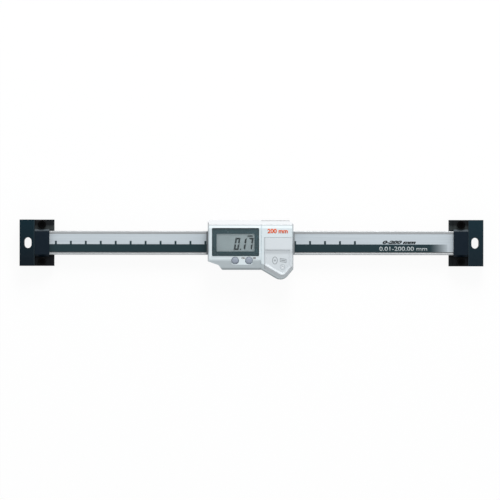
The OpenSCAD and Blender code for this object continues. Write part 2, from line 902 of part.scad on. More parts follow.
// Slot in the cup's wall for the contact that meets the rim of the cell.
module contact_slot() {
    y = contact_w / 2 + 0.2;
    translate([cell_at.x, cell_at.y, 0])
        box(-cup_r - 0.6, -cup_r + 0.5, -y, y, board_z1 - past, deck_z1 - 1.2);
}

module housing_gasket() {
    color([0.15, 0.16, 0.17])
        at_slider()
            difference() {
                plate(inset(head_plan, frame_inset + gasket_edge), frame_z1, housing_z0);
                plate(inset(head_plan, wall - gasket_lap), frame_z1 - past, housing_z0 + past);
            }
}

module housing_screws() {
    color([0.40, 0.41, 0.43])
        at_slider()
            for (at = boss_at)
                translate([at.x, at.y, pan_z])
                    pan_screw(head_screw_r, pan_r, pan_h, housing_z0 + head_screw_grip - pan_z);
}

// ---- Display --------------------------------------------------------------------------------

module display_window() {
    color([0.22, 0.30, 0.32])
        at_slider()
            plate(rectangle(window_x0, window_x1, window_y0, window_y1, window_r),
                window_z0, face_z);
}

module window_seal() {
    color([0.12, 0.13, 0.14])
        at_slider()
            difference() {
                plate(rectangle(window_x0, window_x1, window_y0, window_y1, window_r),
                    ledge_z1, window_z0);
                plate(rectangle(window_x0 + seal_w, window_x1 - seal_w, window_y0 + seal_w,
                    window_y1 - seal_w, 0.5), ledge_z1 - past, window_z0 + past);
            }
}

module lcd_panel() {
    e = glass_edge;
    color([0.57, 0.62, 0.63])
        at_slider()
            box(lcd_x0 - e, lcd_x1 + e, lcd_y0 - e, lcd_y1 + e, lcd_z0, lcd_z1);
}

module zebra_forms(gap, z0, z1) {
    for (y = [lcd_y0 - zebra_y, lcd_y1 + zebra_y])
        box(lcd_x0 - gap, lcd_x1 + gap, y - zebra_t / 2 - gap, y + zebra_t / 2 + gap, z0, z1);
}

module lcd_holder() {
    e = glass_edge + 0.1;
    color([0.93, 0.93, 0.90])
        at_slider()
            difference() {
                box(lcd_x0 - e, lcd_x1 + e, lcd_y0 - e, lcd_y1 + e, board_z1, lcd_z0);
                box(lcd_x0 + 0.4, lcd_x1 - 0.4, lcd_y0 + 1.4, lcd_y1 - 1.4,
                    board_z1 - past, lcd_z0 + past);
                zebra_forms(fit_gap, board_z1 - past, lcd_z0 + past);
            }
}

module zebra_strips() {
    color([0.25, 0.25, 0.27])
        at_slider()
            zebra_forms(0, board_z1, lcd_z0);
}

// ---- Electronics ----------------------------------------------------------------------------

module main_board() {
    color([0.10, 0.36, 0.22])
        at_slider()
            difference() {
                plate(inset(head_plan, frame_inset + rim_w + board_gap), board_z0, board_z1);
                for (at = boss_at)
                    rod(at, boss_r + 3 * board_gap, board_z0 - past, board_z1 + past);
                box(-far, boss_at[0].x, boss_at[0].y, far, board_z0 - past, board_z1 + past);
            }
}

// A chip under the display, four capacitors, and a crystal lying on the board.
module board_components() {
    chip_x0 = (lcd_x0 + lcd_x1 - chip_l) / 2;
    chip_y0 = (lcd_y0 + lcd_y1 - chip_w) / 2;
    color([0.16, 0.16, 0.17])
        at_slider() {
            translate([chip_x0, chip_y0, board_z1])
                cube([chip_l, chip_w, chip_t]);
            for (i = [0 : 3])
                translate([block_x + capacitor_pitch * (i + 1), cover_y1 + 3, board_z1])
                    cube([capacitor_l, capacitor_w, capacitor_h]);
            translate([block_x + 5, cover_y1 + 6, board_z1 + crystal_r])
                rotate([0, 90, 0])
                    cylinder(r = crystal_r, h = crystal_l);
        }
}

module readhead_board() {
    color([0.55, 0.40, 0.16])
        at_slider()
            readhead_form(-fit_gap, board_z0 - readhead_t, board_z0);
}

module key_switches() {
    top = key_z0 - key_travel - fit_gap;
    color([0.20, 0.20, 0.21])
        at_slider()
            for (x = key_xs) {
                translate([x - switch_w / 2, key_y - switch_w / 2, board_z1])
                    cube([switch_w, switch_w, top - plunger_r - board_z1]);
                rod([x, key_y], plunger_r, top - 1.2 * plunger_r, top);
            }
}

module key_seals() {
    color([0.12, 0.12, 0.13])
        at_slider()
            for (x = key_xs)
                translate([x, key_y, key_seal_z])
                    rotate_extrude()
                        translate([key_r + key_seal_r + 0.03, 0])
                            circle(r = key_seal_r);
}

module key(x) {
    top = face_z + key_proud;
    color([0.58, 0.63, 0.69])
        at_slider()
            translate([x, key_y, 0])
                rotate_extrude()
                    polygon([
                        [0, key_z0], [flange_r, key_z0], [flange_r, key_z0 + flange_h],
                        [key_r, key_z0 + flange_h], [key_r, top - 0.35], [key_r - 0.12, top - 0.1],
                        [key_r - 0.4, top], [key_r * 0.55, top - 0.1], [0, top - 0.15]
                    ]);
}

module zero_key() {
    key(key_xs[0]);
}

module power_key() {
    key(key_xs[1]);
}

// ---- Battery --------------------------------------------------------------------------------

module battery() {
    color([0.80, 0.81, 0.82])
        at_slider()
            translate([cell_at.x, cell_at.y, 0])
                rotate_extrude()
                    polygon([
                        [0, cell_z0], [cell_r - 1.3, cell_z0], [cell_r - 1.3, cell_z0 + 0.4],
                        [cell_r - 0.3, cell_z0 + 0.4], [cell_r, cell_z0 + 0.7],
                        [cell_r, cell_z1 - 0.3], [cell_r - 0.3, cell_z1], [0, cell_z1]
                    ]);
}

module battery_contact_minus() {
    t = 0.2;
    color([0.85, 0.80, 0.62])
        at_slider()
            translate([cell_at.x, cell_at.y, 0])
                along_y(-contact_w / 2, contact_w / 2)
                    polygon([
                        [-3.5, board_z1], [0.5, board_z1], [3, cell_z0 - t], [4, cell_z0 - t],
                        [4, cell_z0], [2.9, cell_z0], [0.4, board_z1 + t], [-3.5, board_z1 + t]
                    ]);
}

module battery_contact_plus() {
    t = 0.25;
    x = cell_at.x - cup_r - 0.1;
    color([0.85, 0.80, 0.62])
        at_slider()
            translate([0, cell_at.y, 0])
                along_y(-contact_w / 2, contact_w / 2)
                    polygon([
                        [x - t, board_z1], [x, board_z1], [x, deck_z1 - 3], [x + 0.25, deck_z1 - 2.2],
                        [x, deck_z1 - 1.4], [x - t, deck_z1 - 1.4], [x, deck_z1 - 2.2],
                        [x - t, deck_z1 - 3]
                    ]);
}

module battery_seal() {
    r = 0.4;
    color([0.12, 0.12, 0.13])
        at_slider()
            translate([cell_at.x, cell_at.y, deck_z1 - cup_seal_h + r + 0.02])
                rotate_extrude()
                    translate([cup_seal_r, 0])
                        circle(r = r);
}

// The hollow below the cover's raised part. It slopes down from a narrow rim.
module cover_hollow() {
    thin = 0.01;
    intersection() {
        along_x(cover_x0, far)
            polygon([
                [-far, cover_low_z], [step_y - step_l - step_foot, cover_low_z],
                [step_y - step_l, cover_low_z + 0.3 * cover_step], [step_y, face_z],
                [step_y, face_z + past], [-far, face_z + past]
            ]);
        hull() {
            plate(inset(block_plan, hollow_rims), face_z, face_z + past);
            plate(inset(block_plan, [for (r = hollow_rims) r + cover_scoop]),
                cover_low_z - thin, cover_low_z);
        }
    }
}

module battery_cover() {
    color([0.84, 0.87, 0.88])
        at_slider()
            difference() {
                intersection() {
                    plate(head_plan, cover_z0, face_z);
                    battery_form(0, face_z);
                    box(cover_x0 + seam, far, -far, cover_y1 - seam, cover_z0, face_z + past);
                }
                cover_hollow();
                rod(cover_screw_at, head_screw_r + 3 * fit_gap, cover_z0 - past, face_z);
                rod(cover_screw_at, cover_screw_head + fit_gap, cover_screw_z, face_z);
            }
}

module battery_cover_screw() {
    color([0.60, 0.62, 0.64])
        at_slider()
            translate([cover_screw_at.x, cover_screw_at.y, cover_screw_z])
                rotate([180, 0, 0])
                    pan_screw(head_screw_r, cover_screw_head, 1, cover_screw_z - housing_z0 - 1);
}

main_beam();
scale_strip();
graduation_film();
bracket_base_left();
bracket_base_right();
beam_clamp_left();
beam_clamp_right();
clamp_screws_left();
clamp_screws_right();
slider_frame();
slider_back_plate();
back_plate_screws();
gib_strip();
gib_screws();
wiper_left();
wiper_right();
housing_gasket();
front_housing();
housing_screws();
display_window();
window_seal();
lcd_panel();
lcd_holder();
zebra_strips();
main_board();
board_components();
readhead_board();
key_switches();
key_seals();
zero_key();
power_key();
battery();
battery_contact_plus();
battery_contact_minus();
battery_seal();
battery_cover();
battery_cover_screw();
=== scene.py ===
import math

import bmesh
import bpy
from mathutils import Matrix, Vector


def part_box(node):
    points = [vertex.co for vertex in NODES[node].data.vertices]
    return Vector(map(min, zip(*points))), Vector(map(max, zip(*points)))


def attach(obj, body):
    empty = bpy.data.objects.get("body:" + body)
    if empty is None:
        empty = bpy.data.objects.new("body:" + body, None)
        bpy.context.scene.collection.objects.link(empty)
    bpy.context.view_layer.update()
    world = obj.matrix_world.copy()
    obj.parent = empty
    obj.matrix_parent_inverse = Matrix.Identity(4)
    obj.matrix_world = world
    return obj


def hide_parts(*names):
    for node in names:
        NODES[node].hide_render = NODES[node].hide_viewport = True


# Looks of the digital linear scale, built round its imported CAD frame. Lengths are in metres, apart
# from those in the materials, which are in millimetres.

MM = 0.001

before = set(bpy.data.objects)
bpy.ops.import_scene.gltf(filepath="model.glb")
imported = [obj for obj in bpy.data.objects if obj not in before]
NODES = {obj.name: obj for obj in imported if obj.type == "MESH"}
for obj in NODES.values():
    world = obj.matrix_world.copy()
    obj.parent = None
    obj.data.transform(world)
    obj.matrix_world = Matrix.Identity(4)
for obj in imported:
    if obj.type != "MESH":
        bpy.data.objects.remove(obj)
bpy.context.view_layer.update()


# ---- Colours, objects and nodes -------------------------------------------------------------

def srgb(red, green, blue):
    """A linear colour from the values, 0 to 255, that it has on screen."""
    def linear(c):
        c /= 255
        return c / 12.92 if c <= 0.04045 else ((c + 0.055) / 1.055) ** 2.4
    return (linear(red), linear(green), linear(blue), 1.0)


def add_object(name, data):
    made = bpy.data.objects.new(name, data)
    bpy.context.scene.collection.objects.link(made)
    return made


class Nodes:
    """A tree of shader nodes, with short ways to add to it."""

    def __init__(self, tree):
        self.tree = tree

    def node(self, kind, **settings):
        made = self.tree.nodes.new("ShaderNode" + kind)
        for name, value in settings.items():
            setattr(made, name, value)
        return made

    def link(self, source, target):
        self.tree.links.new(source, target)

    def calc(self, operation, *values, use_clamp=False):
        """The result of a Math node. Each value is a socket or a number."""
        made = self.node("Math", operation=operation, use_clamp=use_clamp)
        for value, socket in zip(values, made.inputs):
            if isinstance(value, bpy.types.NodeSocket):
                self.link(value, socket)
            else:
                socket.default_value = value
        return made.outputs[0]

    def ramp(self, value, low, high, start=0.0, end=1.0, interpolation="LINEAR"):
        """value carried from low..high to start..end, and held there."""
        made = self.node("MapRange", interpolation_type=interpolation)
        for name, number in (("From Min", low), ("From Max", high), ("To Min", start), ("To Max", end)):
            made.inputs[name].default_value = number
        self.link(value, made.inputs["Value"])
        return made.outputs["Result"]

    def mixed(self, share, first, second):
        """The first shader, and the second in its place as far as share says."""
        made = self.node("MixShader")
        for source, socket in zip((share, first, second), made.inputs):
            self.link(source, socket)
        return made.outputs[0]


# ---- Camera, light and floor ----------------------------------------------------------------

LENS = 400.0                 # millimetres
SENSOR = 36.0                # width of the camera's sensor, in millimetres
CLIP = (0.1, 10.0)           # nearest and furthest that the camera sees
VIEW_WIDTH = 334.1 * MM      # what the picture takes in at the height of the brackets
AIM = Vector((-0.97, -4.71, 12.0)) * MM
ROLL = math.radians(0.07)    # the beam's right end lies a little lower in the picture

KEY_PLACE = (0.15, 1.10, 0.79)   # the lamp, aimed at the middle of the beam
KEY_SIZE = 0.7
KEY_WATTS = 13.6
ROOM_COLOUR = (0.97, 0.99, 1.0, 1)
WALL_LIGHT = 0.78            # strength of the world at the horizon and well above it
CEILING_LIGHT = 0.36         # strength of the world straight above
CEILING_EDGE = (0.70, 0.96)  # sines of the heights between which one passes into the other

FLOOR_REACH = 6.0            # from the middle to each side
FLOOR_HEIGHT = -0.3 * MM     # just under the brackets
FLOOR_BOUNCE = 0.25          # share of the light that the floor throws back up at the object
FLOOR_WHITE = 0.93           # the floor's colour where the camera sees it
FLOOR_GLOW = 0.93            # share of glow in the floor where the camera or a mirror sees it


def add_camera():
    data = bpy.data.cameras.new("camera")
    data.lens = LENS
    data.sensor_width = SENSOR
    data.clip_start, data.clip_end = CLIP
    camera = add_object("camera", data)
    camera.location = AIM + Vector((0, 0, VIEW_WIDTH * LENS / SENSOR))
    camera.rotation_euler = (0, 0, ROLL)
    bpy.context.scene.camera = camera


def add_key_light():
    data = bpy.data.lights.new("key_light", "AREA")
    data.shape = "DISK"
    data.size = KEY_SIZE
    data.energy = KEY_WATTS
    light = add_object("key_light", data)
    light.location = KEY_PLACE
    light.rotation_euler = (-Vector(KEY_PLACE)).to_track_quat("-Z", "Y").to_euler()


def add_world():
    """A pale room, lit all round, with the ceiling over the object left dim."""
    world = bpy.data.worlds.new("studio")
    world.use_nodes = True
    world.node_tree.nodes.clear()
    room = Nodes(world.node_tree)
    direction = room.node("SeparateXYZ")
    room.link(room.node("TexCoord").outputs["Generated"], direction.inputs[0])
    strength = room.ramp(direction.outputs["Z"], *CEILING_EDGE, WALL_LIGHT, CEILING_LIGHT, "SMOOTHSTEP")
    light = room.node("Background")
    light.inputs["Color"].default_value = ROOM_COLOUR
    room.link(strength, light.inputs["Strength"])
    room.link(light.outputs[0], room.node("OutputWorld").inputs["Surface"])
    bpy.context.scene.world = world


def add_floor():
    """A pale floor. To the camera and in mirrors it glows, and stays white round the shadow."""
    mesh = bpy.data.meshes.new("floor")
    corners = ((-1, -1), (1, -1), (1, 1), (-1, 1))
    mesh.from_pydata([(x * FLOOR_REACH, y * FLOOR_REACH, FLOOR_HEIGHT) for x, y in corners],
                     [], [(0, 1, 2, 3)])
    floor = add_object("floor", mesh)
    material = bpy.data.materials.new("floor")
    material.use_nodes = True
    material.node_tree.nodes.clear()
    paint = Nodes(material.node_tree)
    path = paint.node("LightPath")
    seen = path.outputs["Is Camera Ray"]
    diffuse = paint.node("BsdfDiffuse")
    paint.link(paint.ramp(seen, 0, 1, FLOOR_BOUNCE, FLOOR_WHITE), diffuse.inputs["Color"])
    glow = paint.node("Emission")
    glow.inputs["Strength"].default_value = 1.0
    for ray in ("Is Glossy Ray", "Is Transmission Ray"):
        seen = paint.calc("ADD", seen, path.outputs[ray], use_clamp=True)
    surface = paint.mixed(paint.calc("MULTIPLY", seen, FLOOR_GLOW), diffuse.outputs[0], glow.outputs[0])
    paint.link(surface, paint.node("OutputMaterial").inputs["Surface"])
    mesh.materials.append(material)


# ---- Materials ------------------------------------------------------------------------------

class Look(Nodes):
    """A Principled material, with nodes that vary it over the surface. Sizes are in millimetres."""

    def __init__(self, name, colour, roughness, metallic=0.0, **sockets):
        self.material = bpy.data.materials.new(name)
        self.material.use_nodes = True
        super().__init__(self.material.node_tree)
        self.shader = self.tree.nodes["Principled BSDF"]
        self.shader.inputs["Base Color"].default_value = colour
        self.shader.inputs["Roughness"].default_value = roughness
        self.shader.inputs["Metallic"].default_value = metallic
        for socket, value in sockets.items():
            self.shader.inputs[socket.replace("_", " ")].default_value = value
        self.place = None

    def millimetres(self):
        """The place on the piece, in millimetres."""
        if self.place is None:
            scaled = self.node("VectorMath", operation="SCALE")
            scaled.inputs["Scale"].default_value = 1 / MM
            self.link(self.node("TexCoord").outputs["Object"], scaled.inputs[0])
            self.place = scaled.outputs[0]
        return self.place

    def along(self, axis):
        """The place along "X", "Y" or "Z", in millimetres."""
        split = self.node("SeparateXYZ")
        self.link(self.millimetres(), split.inputs[0])
        return split.outputs[axis]

    def noise(self, size, detail=2.0, stretch=(1, 1, 1)):
        """Cloudy noise, with spots about as wide as size, longer along an axis by its stretch."""
        mapping = self.node("VectorMath", operation="MULTIPLY")
        mapping.inputs[1].default_value = [1 / (size * s) for s in stretch]
        self.link(self.millimetres(), mapping.inputs[0])
        made = self.node("TexNoise")
        made.inputs["Scale"].default_value = 1.0
        made.inputs["Detail"].default_value = detail
        self.link(mapping.outputs[0], made.inputs["Vector"])
        return made.outputs["Fac"]

    def steps(self, value, *points):
        """value carried along straight lines through (value, result) points."""
        curve = self.node("FloatCurve")
        low, high = points[0][0], points[-1][0]
        results = [result for _, result in points]
        bottom, top = min(results), max(results)
        line = curve.mapping.curves[0].points
        for place, result in points[1:-1]:
            line.new((place - low) / (high - low), (result - bottom) / (top - bottom))
        line[0].location = (0, (results[0] - bottom) / (top - bottom))
        line[-1].location = (1, (results[-1] - bottom) / (top - bottom))
        for point in line:
            point.handle_type = "VECTOR"
        curve.mapping.update()
        self.link(self.ramp(value, low, high), curve.inputs["Value"])
        return self.ramp(curve.outputs[0], 0, 1, bottom, top)

    def blend(self, share, colour):
        """Lays another colour over the base colour, as thickly as share says."""
        made = self.node("Mix", data_type="RGBA")
        self.link(share, made.inputs["Factor"])
        base = self.shader.inputs["Base Color"]
        if base.is_linked:
            self.link(base.links[0].from_socket, made.inputs["A"])
        else:
            made.inputs["A"].default_value = base.default_value
        made.inputs["B"].default_value = colour
        self.link(made.outputs["Result"], base)
        return self

    def cloud(self, colour, size, share=1.0, stretch=(1, 1, 1)):
        """Soft spots of another colour."""
        return self.blend(self.ramp(self.noise(size, 3.0, stretch), 0.35, 0.7, 0, share), colour)

    def patina(self, low, high, size, stretch=(1, 1, 1)):
        """Roughness that wanders between two values."""
        self.link(self.ramp(self.noise(size, 3.0, stretch), 0.3, 0.7, low, high),
                  self.shader.inputs["Roughness"])
        return self

    def relief(self, depth, size, stretch=(1, 1, 1), detail=2.0):
        """Fine grain in the surface, depth deep."""
        bump = self.node("Bump")
        bump.inputs["Strength"].default_value = 1.0
        bump.inputs["Distance"].default_value = depth * MM
        self.link(self.noise(size, detail, stretch), bump.inputs["Height"])
        self.link(bump.outputs[0], self.shader.inputs["Normal"])
        return self

    def let_through(self, rays):
        """Lets these rays pass as if the surface weren't there."""
        surface = self.mixed(rays, self.shader.outputs[0], self.node("BsdfTransparent").outputs[0])
        self.link(surface, self.tree.nodes["Material Output"].inputs["Surface"])
        return self


BRUSHED_X = (60, 1, 1)       # stretch of fine marks that run along the beam

# Forms that the materials and the added pieces follow, in millimetres.
FLANGE = 145.0               # from the middle of the beam to the step up to each bracket's flange
BEVEL_DROP = 6.0             # from the head's face down to its outline, where the bevels begin
BEVEL_LEAN = 3.0             # from the head's upper outline in to its face
BLOCK_EDGE = 2.2             # from the battery cover left to the groove beside the battery block
PAD = 8.1                    # height of the battery cover's upper part, down to its hollow
HOLLOW = 0.8                 # depth of that hollow
BAND = 0.03                  # thickness of the film's dark band and marks
FADE = (119.5, 132.5)        # where the dark band fades out along the beam

PAINTED_HEAD_SHADE = srgb(70, 76, 80)     # painted shade on the head's outline and in its recesses
PAINTED_LOW_SHADOW = srgb(9, 10, 12)        # painted shadow on the lower parts of the brackets and clamps
PAINTED_EAR_LIGHT = srgb(70, 76, 76)       # painted light on their upper ears
GAMMA = 2.2


def moulded_plastic(name, colour, shade, roughness=0.42):
    look = Look(name, colour, roughness, IOR=1.5)
    look.cloud(shade, 14, 0.35).patina(roughness - 0.05, roughness + 0.07, 3)
    return look.relief(0.004, 0.18, detail=3.0)


def crown_face(look, face, crest):
    """Leans the normals along the top of a face, which is softly crowned there."""
    lean = look.steps(look.along("Y"), (crest - 3, 0), (crest - 1.8, 0.42), (crest - 1, 0.42),
                      (crest - 0.7, 0), (crest, -0.08))
    upwards = look.node("CombineXYZ")
    look.link(look.calc("MULTIPLY", look.ramp(look.along("Z"), face - 0.4, face - 0.1), lean),
              upwards.inputs["Y"])
    leaning = look.node("VectorMath", operation="ADD")
    normal = look.shader.inputs["Normal"]
    look.link(normal.links[0].from_socket, leaning.inputs[0])
    look.link(upwards.outputs[0], leaning.inputs[1])
    unit = look.node("VectorMath", operation="NORMALIZE")
    look.link(leaning.outputs[0], unit.inputs[0])
    look.link(unit.outputs[0], normal)


def housing_plastic():
    """The housing's plastic, with painted shade along its outline and below the window, and painted light
    on its upper bevel.
    """
    look = moulded_plastic("housing_plastic", srgb(215, 225, 229), srgb(208, 218, 223))
    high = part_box("front_housing")[1] / MM
    shoulder = high.z - BEVEL_DROP
    crest = high.y - BEVEL_LEAN              # where the face meets its upper bevel
    # Painted light: a paler, more neutral tint along the upper bevel, which faces the key light.
    look.blend(look.ramp(look.along("Y"), crest - 1, crest + 0.2), srgb(221, 223, 225))

    # Painted shade: a dark line round the lower edge of the head's outline.
    line = look.steps(look.along("Z"), (shoulder - 1, 0), (shoulder + 0.2, 0.4), (shoulder + 1.1, 0.4),
                      (shoulder + 1.5, 0))
    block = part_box("battery_cover")[0].x / MM - BLOCK_EDGE
    shaded_sides = look.calc("MAXIMUM",             # all round, but for the top of the display side
                      look.ramp(look.along("Y"), crest - 3, crest - 4),
                      look.ramp(look.along("X"), block - 0.2, block + 0.2))
    look.blend(look.calc("MULTIPLY", line, shaded_sides), PAINTED_HEAD_SHADE)

    window_low, window_high = (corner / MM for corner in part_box("display_window"))
    left, right, foot = window_low.x, window_high.x, window_low.y
    # Painted shade on the face just below the window.
    across = look.steps(look.along("X"), (left - 1, 0), (left, 1), (right, 1), (right + 1, 0))
    below = look.steps(look.along("Y"), (foot - 1.6, 0), (foot - 1.1, 0.07), (foot - 0.6, 0.18),
                       (foot, 0.2), (foot + 0.2, 0))
    look.blend(look.calc("MULTIPLY", across, below), PAINTED_HEAD_SHADE)
    crown_face(look, high.z, crest)
    return look


def cover_plastic():
    """The battery cover's plastic, with painted shade down the step into its hollow and along its left
    edge.
    """
    look = moulded_plastic("cover_plastic", srgb(213, 219, 223), srgb(206, 213, 218))
    low, high = (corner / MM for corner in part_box("battery_cover"))
    step = high.y - PAD
    # Painted shade down the step into the hollow.
    look.blend(look.steps(look.along("Y"), (step - 10.2, 0.05), (step - 3.6, 0.04), (step - 2.6, 0.09),
                          (step - 1.9, 0.2), (step - 1.2, 0.17), (step - 0.5, 0.1), (step + 0.3, 0.13),
                          (step + 0.9, 0)), PAINTED_HEAD_SHADE)
    # Painted shade along the left edge.
    return look.blend(look.ramp(look.along("X"), low.x + 0.4, low.x + 1.6, 0.12, 0), PAINTED_HEAD_SHADE)


def cover_screw_plastic():
    """Pale plastic, made paler still down in the socket by painted light."""
    look = moulded_plastic("cover_screw", srgb(214, 220, 224), srgb(202, 208, 212))
    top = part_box("battery_cover_screw")[1].z / MM
    # Painted light down in the socket, which cancels its shade.
    return look.blend(look.ramp(look.along("Z"), top - 0.1, top - 0.25, 0, 0.75), srgb(252, 253, 254))


def beam_steel():
    """Ground steel, with painted shade on the slopes beside the film, most of all on the lower one, and
    along the outer edges.
    """
    look = Look("beam_steel", srgb(208, 211, 213), 0.36, metallic=0.4)
    look.cloud(srgb(192, 195, 197), 0.5, 0.6, BRUSHED_X).patina(0.30, 0.44, 0.4, BRUSHED_X)
    look.relief(0.003, 0.09, BRUSHED_X)
    # Painted shade on the slopes beside the film and along the outer edges.
    shade = look.steps(look.along("Y"), (-8.0, 0.2), (-7.8, 0.1), (-7.4, 0.2), (-6.9, 0.5),
                       (-6.3, 0.97), (-5.9, 0.97), (0, 0.2), (5.9, 0.2), (7.1, 0.2), (7.4, 0.04),
                       (7.8, 0.04), (8.0, 0.2))
    return look.blend(shade, srgb(38, 40, 42))


def coated_steel(name, shaded_tone, lit_tone, spots):
    """Dark enamel with painted light, a little paler towards the key light, and faint spots of another
    tone.
    """
    look = Look(name, shaded_tone, 0.5, IOR=1.5, Specular_IOR_Level=0.18)
    # Painted light: paler up the Y axis, towards the key light.
    look.blend(look.ramp(look.along("Y"), -12, 12), lit_tone)
    look.cloud(spots, 6, 0.15).patina(0.42, 0.6, 2)
    return look.relief(0.008, 0.22, detail=4.0)


def paint_low_shadow_and_ear_light(look, low):
    """Near black painted shadow where low says, and painted light on the upper ears of the clamps and the
    arms under them.
    """
    # Painted shadow, near black.
    look.blend(look.calc("MULTIPLY", low, 0.85), PAINTED_LOW_SHADOW)
    # Painted light on the upper ears.
    ears = look.steps(look.along("Y"), (8.5, 0), (8.9, 0.58), (10.3, 0.55), (11.2, 0.4), (12.1, 0.07),
                      (16, 0.07))
    look.blend(look.calc("MULTIPLY", low, ears), PAINTED_EAR_LIGHT)


def bracket_coat():
    """Enamel with near black painted shadow on the low base and its arms, and a painted highlight along the
    step up from it.
    """
    look = coated_steel("bracket_coat", srgb(2, 16, 26), srgb(4, 33, 43), srgb(8, 28, 38))
    # Painted light: paler towards the right-hand bracket.
    look.blend(look.ramp(look.along("X"), -120, 120, 0, 0.2), srgb(34, 56, 66))
    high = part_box("bracket_base_left")[1] / MM
    away = look.calc("ABSOLUTE", look.along("X"))
    above = look.ramp(look.calc("ABSOLUTE", look.along("Y")),      # not the side walls
                      high.y - 0.4, high.y - 0.1, 1, 0)
    # Painted shadow, near black, on the low base and its arms, with painted light on the upper arms.
    low = look.calc("MULTIPLY", look.ramp(look.along("Z"), high.z - 4.5, high.z - 3.5, 1, 0),
                    look.ramp(away, FLANGE - 0.4, FLANGE + 0.1, 1, 0))
    paint_low_shadow_and_ear_light(look, look.calc("MULTIPLY", above, low))
    # Painted highlight along the step up to each flange.
    line = look.steps(away, (FLANGE - 1.5, 0), (FLANGE - 1, 0.28), (FLANGE + 0.2, 0.28), (FLANGE + 0.6, 0))
    return look.blend(look.calc("MULTIPLY", above, line), srgb(80, 90, 96))


def clamp_coat():
    """Enamel like the brackets', with near black painted shadow on the ears and a pale painted highlight on
    the upper chamfer.
    """
    look = coated_steel("clamp_coat", srgb(4, 20, 32), srgb(8, 24, 36), srgb(14, 30, 42))
    low, high = (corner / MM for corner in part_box("beam_clamp_left"))
    # Painted shadow, near black, on the ears, with painted light on the upper ones.
    paint_low_shadow_and_ear_light(look, look.ramp(look.along("Z"), low.z + 2.4, low.z + 3, 1, 0))
    # Painted highlight on the upper chamfer.
    chamfer_highlight = look.calc("MULTIPLY", look.steps(look.along("Y"), (7.6, 0), (8.1, 0.6), (8.9, 0.6), (9.2, 0.3)),
                     look.ramp(look.along("Z"), high.z - 2.2, high.z - 1.6))
    return look.blend(chamfer_highlight, srgb(96, 104, 109))


def rubber(name, colour, shade):
    look = Look(name, colour, 0.6)
    return look.cloud(shade, 1.5, 0.6).patina(0.55, 0.75, 0.6).relief(0.006, 0.12)


def wiper_rubber():
    """Grey rubber, paler at the right end of the head."""
    look = rubber("wiper_rubber", srgb(76, 80, 84), srgb(90, 94, 98))
    return look.blend(look.ramp(look.along("X"), -10, 10, 0, 0.6), srgb(162, 166, 169))


def cast_metal(name, colour, shade):
    look = Look(name, colour, 0.5, metallic=0.8)
    return look.cloud(shade, 3, 0.3).patina(0.42, 0.6, 1.2).relief(0.01, 0.3, detail=4.0)


def screw_steel(name, colour, shade):
    look = Look(name, colour, 0.35, metallic=0.9)
    return look.cloud(shade, 0.6, 0.6).patina(0.28, 0.45, 0.4).relief(0.003, 0.15)


def glossy_print(name, colour, shade):
    look = Look(name, colour, 0.3)
    return look.cloud(shade, 2, 0.4).patina(0.25, 0.4, 1)


def graduation_film():
    """Silver film, printed with a dark band that fades out at its right end, and with dark marks."""
    look = Look("graduation_film", srgb(198, 207, 213), 0.4, metallic=0.1, Specular_IOR_Level=0.3)
    look.cloud(srgb(188, 197, 204), 0.7, 0.7, BRUSHED_X)
    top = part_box("graduation_film")[1].z / MM
    raised = look.ramp(look.along("Z"), top - 0.02, top - 0.01)
    dark, pale = 0.24, 0.70              # the band's ends, as shares of white on screen
    shade = look.calc("POWER", look.ramp(look.along("X"), *FADE, dark, pale), GAMMA)
    inked = look.ramp(shade, dark ** GAMMA, pale ** GAMMA, 1, 0)
    look.blend(look.calc("MULTIPLY", raised, inked), srgb(33, 54, 60))
    look.patina(0.33, 0.45, 0.5, BRUSHED_X)
    return look.relief(0.002, 0.1, BRUSHED_X)


def display_glass():
    """Clear glass that lets lamps and scattered light straight through to what lies behind it."""
    look = Look("window_glass", (0.95, 0.99, 0.99, 1), 0.04, Transmission_Weight=1.0, IOR=1.45)
    look.relief(0.0005, 2.0)
    path = look.node("LightPath")
    return look.let_through(look.calc("ADD", path.outputs["Is Shadow Ray"],
                                      path.outputs["Is Diffuse Ray"], use_clamp=True))


def liquid_crystal():
    look = Look("liquid_crystal", srgb(147, 157, 160), 0.35)
    look.cloud(srgb(139, 150, 153), 5, 0.6).patina(0.3, 0.42, 1.5)
    return look.relief(0.001, 0.15)


def circuit_board():
    """Green lacquer, paler over the rows of tracks."""
    look = Look("circuit_board", srgb(24, 88, 56), 0.4)
    tracks = look.node("TexBrick")
    for socket, value in (("Scale", 1.0), ("Mortar Size", 0.12), ("Brick Width", 2.6), ("Row Height", 0.9)):
        tracks.inputs[socket].default_value = value
    look.link(look.millimetres(), tracks.inputs["Vector"])
    look.blend(look.ramp(tracks.outputs["Fac"], 0, 1, 0, 0.5), srgb(80, 140, 90))
    return look.relief(0.01, 0.5)


